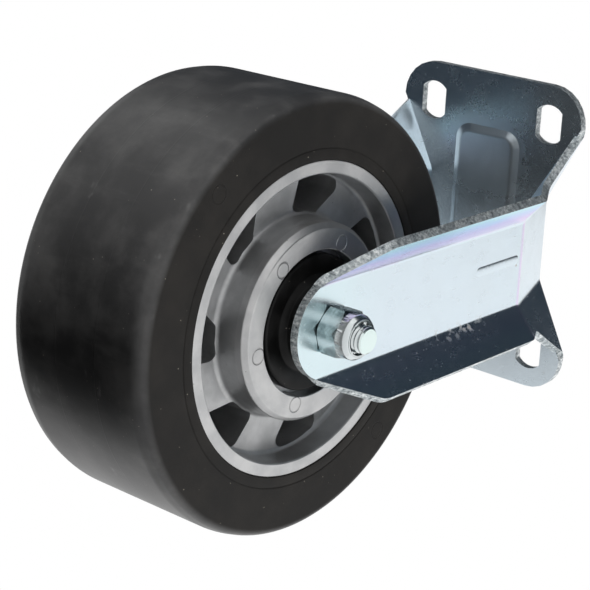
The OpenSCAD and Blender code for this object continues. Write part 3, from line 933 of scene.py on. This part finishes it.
@dataclass
class Wheel:
    """The cast centre with its six windows, and the tyre moulded on it."""

    half_w: float = 25.0
    tread_r: float = 62.5
    shoulder_r: float = 3.7
    rim_r: float = 44.6
    rim_inner: float = 40.85
    rim_side: float = 24.7
    hub_r: float = 26.7
    hub_side: float = 27.8
    guard_r: float = 20.7
    guard_floor: float = 23.4
    bearing_r: float = 17.5
    shelf_r: float = 15.6
    bearing_in: float = 12.0
    hub_wall: float = 28.4
    rim_wall: float = 40.3
    spoke_face: float = 17.4
    key_r: float = 42.8
    key_half: float = 13.0
    groove_r: float = 47.9
    groove_w: float = 0.5
    windows: int = 7
    window_hub: tuple[float, float] = (12.1, 33.1)
    window_rim: tuple[float, float] = (17.0, 45.1)
    window_draft: float = 0.94

    def both(self, half: Sequence[Corner], steps: int = 5) -> list[tuple[float, float]]:
        """A closed outline from its outer half, rounded."""
        return rounded([*half, *((r, -out, k) for r, out, k in reversed(half))], steps)

    def centre_mesh(self) -> bpy.types.Object:
        """The turned and cast centre, with its windows cut.

        Returns:
            The centre.
        """
        piece = Workpiece()
        piece.revolve(self.both([
            (self.shelf_r, self.bearing_in, 0), (self.bearing_r, self.bearing_in, 0),
            (self.bearing_r, self.guard_floor, 0), (self.guard_r, self.guard_floor, 0),
            (self.guard_r, self.hub_side, 0.4), (self.hub_r, self.hub_side, 0.7),
            (self.hub_wall - 0.4, self.hub_side - 1.5, 1.0), (self.hub_wall, self.spoke_face, 1.8),
            (self.rim_wall, self.spoke_face, 1.6), (self.rim_inner, self.rim_side, 0.5),
            (self.rim_r, self.rim_side, 0.2), (self.rim_r, self.key_half, 0), (self.key_r, self.key_half - 1.8, 0),
        ], 6), steps=140)
        obj = piece.raw("cast_centre")
        for k in range(self.windows):
            combine(obj, self.window_mesh(math.tau * k / self.windows), "DIFFERENCE")
        return obj

    def window_mesh(self, angle: float) -> bpy.types.Object:
        """The cutting mesh of one window, narrower at mid-width, where the two core pins meet.

        Args:
            angle: The angle of the spoke before it, from straight up.

        Returns:
            The mesh.
        """
        inner, outer = self.hub_wall + 0.5, self.rim_wall - 0.4
        hub, rim = self.window_hub, self.window_rim
        corners = [
            (inner, hub[0], 1.8), (outer, rim[0], 2.4), *((outer, rim[0] + (rim[1] - rim[0]) * k / 6, 0) for k in (2, 3, 4)),
            (outer, rim[1], 2.4), (inner, hub[1], 1.8), (inner, (hub[0] + hub[1]) / 2, 0),
        ]
        outline = rounded([(r * math.cos(math.radians(a)), r * math.sin(math.radians(a)), k) for r, a, k in corners], 5)
        turn = Matrix.Rotation(angle, 3, "Y")
        piece = Workpiece()
        layer = piece.face([turn @ Vector((y, -30.0, x)) for x, y in outline])
        for draft in (self.window_draft, 1 / self.window_draft):
            made = bmesh.ops.extrude_face_region(piece.bm, geom=[layer], use_keep_orig=draft < 1)
            layer = next(g for g in made["geom"] if isinstance(g, bmesh.types.BMFace))
            middle = layer.calc_center_median()
            for vert in layer.verts:
                vert.co = middle + (vert.co - middle) * draft + Vector((0, 30, 0))
        bmesh.ops.translate(piece.bm, verts=piece.bm.verts, vec=AXLE)
        bmesh.ops.recalc_face_normals(piece.bm, faces=piece.bm.faces)
        return piece.raw("window")

    def tyre_mesh(self) -> bpy.types.Object:
        """The tyre, with the fine groove and lip at the rim that the mould leaves.

        Returns:
            The tyre.
        """
        piece = Workpiece()
        side, g, w = self.half_w, self.groove_r, self.groove_w / 2
        piece.revolve(self.both([
            (self.key_r, self.key_half - 1.8, 0), (self.rim_r, self.key_half, 0), (self.rim_r, side - 0.15, 0),
            (self.rim_r + 0.35, side, 0), (g - w, side, 0), (g, side - 2 * w, 0), (g + w, side, 0),
            (self.tread_r - 1.0, side, 2.4), (self.tread_r, side - self.shoulder_r - 0.4, 7.0),
        ], 7), steps=180)
        return piece.raw("moulded_tyre")

    def build(self, cast: bpy.types.Material, rubber: bpy.types.Material) -> None:
        """Makes the wheel's two pieces.

        Args:
            cast: The finish of the centre.
            rubber: The finish of the tyre.
        """
        complete(self.centre_mesh(), Body.WHEEL, [cast], ["wheel_centre"], edge=1.0, edge_angle=38, segments=3)
        complete(self.tyre_mesh(), Body.WHEEL, [rubber], ["tyre"])


# --------------------------------------------------------------------------- bolt and nut


@dataclass
class AxleFasteners:
    """The hexagon bolt through the axle and its locking nut."""

    leg_y: float = 34.0
    bolt_r: float = 4.0
    flats: float = 13.0
    head_h: float = 5.3
    nut_hex_h: float = 6.4
    nut_h: float = 10.3
    bolt_out: float = 2.4
    collar_r: float = 6.4
    mouth_r: float = 5.1
    nut_turn: float = 16.0
    pitch: float = 1.25

    def hexagon(self, start: float, end: float, turn: float, near: bool, both_chamfers: bool) -> bpy.types.Object:
        """A hexagon with turned chamfers.

        Args:
            start: Where it starts, outwards from mid-width.
            end: Where it ends.
            turn: Its turn about the axle, in degrees.
            near: Whether it is on the nut's side.
            both_chamfers: Whether the face on the leg is chamfered too.

        Returns:
            The hexagon.
        """
        side = -1 if near else 1
        corner = self.flats / math.sqrt(3)
        piece = Workpiece()
        outline = [
            Vector((corner * math.cos(a), side * start, AXLE_Z + corner * math.sin(a)))
            for a in (math.radians(turn + 60 * k) for k in range(6))
        ]
        piece.prism(outline, Vector((0, side * (end - start), 0)))
        obj = piece.raw("hexagon")
        flat = self.flats / 2 * 0.965
        fall = (corner - flat) * math.tan(math.radians(30))
        turned = Workpiece()
        turned.revolve([
            (0.0, start - 0.01), (flat if both_chamfers else corner + 1, start - 0.01),
            (corner + (0.05 if both_chamfers else 1), start + (fall if both_chamfers else 0.0)),
            (corner + 0.05, end - fall), (flat, end + 0.01), (0.0, end + 0.01),
        ], near, 96)
        combine(obj, turned.raw("chamfers"), "INTERSECT")
        return obj

    def nut(self) -> bpy.types.Object:
        """The nut: hexagon, rolled collar and bore.

        Returns:
            The nut.
        """
        base, top = self.leg_y, self.leg_y + self.nut_h
        obj = self.hexagon(base, base + self.nut_hex_h, self.nut_turn, True, True)
        collar = Workpiece()
        collar.revolve(rounded([
            (0.0, base + self.nut_hex_h - 1.0, 0), (self.collar_r + 0.1, base + self.nut_hex_h - 1.0, 0),
            (self.collar_r, top - 1.5, 1.0), (self.collar_r - 1.0, top, 0.9), (self.mouth_r, top - 0.1, 0.35),
            (self.mouth_r, top - 1.1, 0), (0.0, top - 1.1, 0),
        ], 5), True, 96)
        combine(obj, collar.raw("collar"), "UNION")
        bore = Workpiece()
        bore.revolve([(0.0, base - 1), (self.bolt_r + 0.02, base - 1), (self.bolt_r + 0.02, top + 1), (0.0, top + 1)], True, 64)
        combine(obj, bore.raw("bore"), "DIFFERENCE")
        obj.name = "locking_nut"
        return obj

    def thread(self, piece: Workpiece, start: float, turns: int) -> None:
        """A thread's ridge, swept up the shank as a helix.

        Args:
            piece: The mesh that gets it.
            start: Where it starts, outwards from mid-width.
            turns: Its full turns.
        """
        r, p = self.bolt_r, self.pitch
        ridge = [(r - 0.75, -0.5 * p), (r - 0.10, -0.06 * p), (r - 0.10, 0.06 * p), (r - 0.75, 0.5 * p)]
        verts = [piece.bm.verts.new((0, -(start + out), AXLE_Z + radius)) for radius, out in ridge]
        edges = [piece.bm.edges.new(pair) for pair in zip(verts, verts[1:])]
        steps = 40 * turns
        bmesh.ops.spin(
            piece.bm, geom=verts + edges, cent=AXLE, axis=(0, 1, 0), dvec=(0, -p * turns / steps, 0),
            angle=math.tau * turns, steps=steps, use_merge=False, use_normal_flip=False, use_duplicate=False,
        )

    def bolt(self) -> bpy.types.Object:
        """The bolt: head on the far side, shank, thread and chamfered end.

        Returns:
            The bolt.
        """
        end = self.leg_y + self.nut_h + self.bolt_out
        obj = self.hexagon(self.leg_y, self.leg_y + self.head_h, 8.0, False, False)
        shank = Workpiece()
        core = self.bolt_r - 0.62
        shank.revolve(rounded([
            (0.0, -self.leg_y - 1.0, 0), (self.bolt_r, -self.leg_y - 1.0, 0), (self.bolt_r, self.leg_y + 6.0, 0),
            (core, self.leg_y + 6.6, 0), (core, end - 1.0, 0), (self.bolt_r - 0.2, end - 0.8, 0.1),
            (self.bolt_r - 0.2, end - 0.45, 0.1), (self.bolt_r - 0.65, end, 0.1), (0.0, end, 0),
        ], 3), True, 72)
        combine(obj, shank.raw("shank"), "UNION")
        ridges = Workpiece()
        self.thread(ridges, self.leg_y + self.nut_h - 2.6, 3)
        bmesh.ops.remove_doubles(ridges.bm, verts=ridges.bm.verts, dist=0.001)
        bmesh.ops.recalc_face_normals(ridges.bm, faces=ridges.bm.faces)
        ridges.bm.from_mesh(obj.data)
        name, old = "threaded_bolt", obj
        made = ridges.raw(name)
        bpy.data.objects.remove(old)
        return made

    def build(self, zinc: bpy.types.Material) -> None:
        """Makes the nut and the bolt.

        Args:
            zinc: The finish of both.
        """
        complete(self.nut(), Body.FORK, [zinc], ["lock_nut"], edge=0.18, edge_angle=32)
        complete(self.bolt(), Body.FORK, [zinc], ["axle_bolt"], edge=0.12, edge_angle=40)


# --------------------------------------------------------------------------- the solids that stay


@dataclass
class InnerParts:
    """The guards and the bearings, which keep their solids and get their finishes."""

    nodes: dict[str, bpy.types.Object]

    def dress(self) -> None:
        """Gives each solid that stays its material."""
        guard = Moulding("guard_plastic", (0.003, 0.003, 0.003), 0.22).make()
        nylon = Moulding("insert_nylon", (0.09, 0.11, 0.14), 0.45).make()
        seal = Moulding("seal_rubber", (0.030, 0.030, 0.032), 0.50).make()
        ring = Steel("bearing_steel", (0.74, 0.75, 0.76), 0.12).make()
        ball = Steel("ball_steel", (0.84, 0.85, 0.86), 0.04, 0.0).make()
        cage = Steel("cage_steel", (0.52, 0.50, 0.47), 0.30, 0.03).make()
        tube = Steel("tube_steel", (0.56, 0.57, 0.58), 0.26, 0.03).make()
        finishes: list[tuple[str, bpy.types.Material]] = [
            ("thread_guard", guard), ("nut_insert", nylon), ("seal", seal), ("ring", ring), ("balls", ball),
            ("cage", cage), ("axle_tube", tube), ("spacer", tube),
        ]
        for name, obj in self.nodes.items():
            match = next((m for word, m in finishes if name.endswith(word)), None)
            if match is None:
                continue
            obj.data.materials.clear()
            obj.data.materials.append(match)
            LOG.info("%s keeps its solid, finished in %s", name, match.name)


# --------------------------------------------------------------------------- studio


@dataclass
class Studio:
    """The floor, the lamps, the dark flags that metal mirrors, and the camera."""

    focal_px: float = 1819.9
    frame_px: float = 590.0
    sensor: float = 36.0
    eye: Corner = (-164.3, -327.3, -475.7)
    right: Corner = (-0.045087, -0.748389, 0.661726)
    down: Corner = (0.947114, -0.242691, -0.209943)
    ahead: Corner = (0.317714, 0.617264, 0.719752)
    floor_z: float = -180.2
    fill: float = 0.62

    def camera(self) -> None:
        """Sets the camera where the photograph was taken from."""
        data = bpy.data.cameras.new("photo_view")
        data.sensor_width = self.sensor
        data.lens = self.sensor * self.focal_px / self.frame_px
        data.clip_start, data.clip_end = 0.01, 20.0
        obj = bpy.data.objects.new("photo_view", data)
        turn = Matrix((Vector(self.right), -Vector(self.down), -Vector(self.ahead))).transposed()
        obj.matrix_world = Matrix.Translation(Vector(self.eye) * MM) @ turn.to_4x4()
        bpy.context.scene.collection.objects.link(obj)
        bpy.context.scene.camera = obj

    def world(self) -> None:
        """A white surround for the eye and for reflections, and a softer one for light."""
        world = bpy.data.worlds.new("studio")
        world.use_nodes = True
        tree = world.node_tree
        tree.nodes.clear()
        path = tree.nodes.new("ShaderNodeLightPath")
        seen = tree.nodes.new("ShaderNodeMath")
        seen.operation = "MAXIMUM"
        mirrored = tree.nodes.new("ShaderNodeMath")
        mirrored.operation = "MAXIMUM"
        tree.links.new(path.outputs["Is Camera Ray"], seen.inputs[0])
        tree.links.new(path.outputs["Is Glossy Ray"], mirrored.inputs[0])
        tree.links.new(path.outputs["Is Transmission Ray"], mirrored.inputs[1])
        tree.links.new(mirrored.outputs[0], seen.inputs[1])
        level = tree.nodes.new("ShaderNodeMapRange")
        level.inputs["To Min"].default_value = self.fill
        level.inputs["To Max"].default_value = 1.0
        tree.links.new(seen.outputs[0], level.inputs["Value"])
        background = tree.nodes.new("ShaderNodeBackground")
        background.inputs["Color"].default_value = (1.0, 1.0, 1.0, 1.0)
        tree.links.new(level.outputs["Result"], background.inputs["Strength"])
        output = tree.nodes.new("ShaderNodeOutputWorld")
        tree.links.new(background.outputs[0], output.inputs["Surface"])
        bpy.context.scene.world = world

    def panel(
        self, name: str, centre: Corner, size: tuple[float, float], facing: Vector = Vector((0.0, 0.0, 1.0))
    ) -> bpy.types.Object:
        """A rectangle that belongs to the studio.

        Args:
            name: Its name.
            centre: Its middle, in metres.
            size: Its two sides, in metres.
            facing: The way that it faces.

        Returns:
            The rectangle.
        """
        piece = Workpiece()
        bmesh.ops.create_grid(piece.bm, x_segments=1, y_segments=1, size=0.5)
        bmesh.ops.scale(piece.bm, vec=(size[0], size[1], 1.0), verts=piece.bm.verts)
        if facing.z < 1:
            bmesh.ops.transform(piece.bm, matrix=facing.to_track_quat("Z", "Y").to_matrix(), verts=piece.bm.verts)
        bmesh.ops.translate(piece.bm, vec=centre, verts=piece.bm.verts)
        obj = piece.raw(name)
        return obj

    def floor(self) -> None:
        """The pale floor that the wheel stands on; it is clear from below, where the camera is."""
        s = Shader("pale_floor")
        point = s.place()
        tone = s.mix(s.noise(point, 60, 3.0), (0.86, 0.86, 0.86), (0.90, 0.90, 0.90))
        paint = s.add("ShaderNodeBsdfDiffuse", None, {"Color": tone})
        clear = s.add("ShaderNodeBsdfTransparent", None, {"Color": rgb(1, 1, 1)})
        below = s.add("ShaderNodeNewGeometry", None, None, "Backfacing")
        shade = s.add("ShaderNodeLightPath", None, None, "Is Shadow Ray")
        see_through = below.math("MAXIMUM", shade)
        s.add_output(s.add("ShaderNodeMixShader", None, {0: see_through, 1: paint, 2: clear}))
        plane = self.panel("pale_floor", (0, 0, self.floor_z * MM), (6, 6))
        plane.data.materials.append(s.material)

    def flags(self) -> None:
        """Dark bluish flags with a faint glow that only reflections see, which paint dark reflections into the metal:
        one overhead on the rear side, one low behind, one at the near side.
        """
        s = Shader("painted_reflection_flag")
        # Painted reflection: a faint bluish glow on cards that only glossy rays see, so the metal mirrors dark slate
        # where nothing stands.
        s.add_output(s.add("ShaderNodeEmission", None, {"Color": rgb(0.55, 0.75, 1.0), "Strength": 0.045}))
        flags = [
            self.panel("overhead_flag", (-0.92, 0.0, 0.60), (2.12, 3.0)),
            self.panel("low_flag", (-0.12, 0.435, self.floor_z * MM + 0.002), (0.46, 0.73)),
            self.panel("side_flag", (-0.55, -1.05, 0.16), (0.9, 0.6), Vector((0.456, 0.878, -0.153))),
        ]
        for flag in flags:
            flag.data.materials.append(s.material)
            flag.visible_camera = False
            flag.visible_diffuse = False
            flag.visible_shadow = False
            flag.visible_transmission = False

    def lamp(self, name: str, place: Corner, power: float, size: float, tint: Colour = (1.0, 1.0, 1.0)) -> None:
        """A square soft lamp that looks at the castor.

        Args:
            name: Its name.
            place: Where it hangs, in metres.
            power: Its power, in watts.
            size: Its side, in metres.
            tint: Its colour.
        """
        data = bpy.data.lights.new(name, "AREA")
        data.energy, data.size, data.color = power, size, tint
        obj = bpy.data.objects.new(name, data)
        obj.location = place
        obj.rotation_mode = "QUATERNION"
        obj.rotation_quaternion = (Vector((0, 0, -0.09)) - Vector(place)).to_track_quat("-Z", "Y")
        obj.visible_glossy = False
        bpy.context.scene.collection.objects.link(obj)

    def build(self) -> None:
        """Sets up the whole studio."""
        self.camera()
        self.world()
        self.floor()
        self.flags()
        self.lamp("key", (0.30, -0.85, 0.45), 6.0, 0.7)
        self.lamp("side", (-0.90, -0.35, -0.10), 5.0, 0.6)
        self.lamp("low", (0.35, -0.55, -0.80), 3.0, 0.7)
        scene = bpy.context.scene
        scene.view_settings.view_transform = "Standard"


def main() -> None:
    """Loads the frame, makes each sub-assembly and sets up the studio."""
    logging.basicConfig(level=logging.INFO, format="%(name)s: %(message)s")
    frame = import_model()
    Studio().build()
    ForkBracket().build(PassivatedZinc().make(), ShearedEdge().make())
    Wheel().build(CastAluminium().make(), TyreRubber().make())
    AxleFasteners().build(BrightZinc().make())
    InnerParts(frame["nodes"]).dress()


if __name__ == "__main__":
    main()
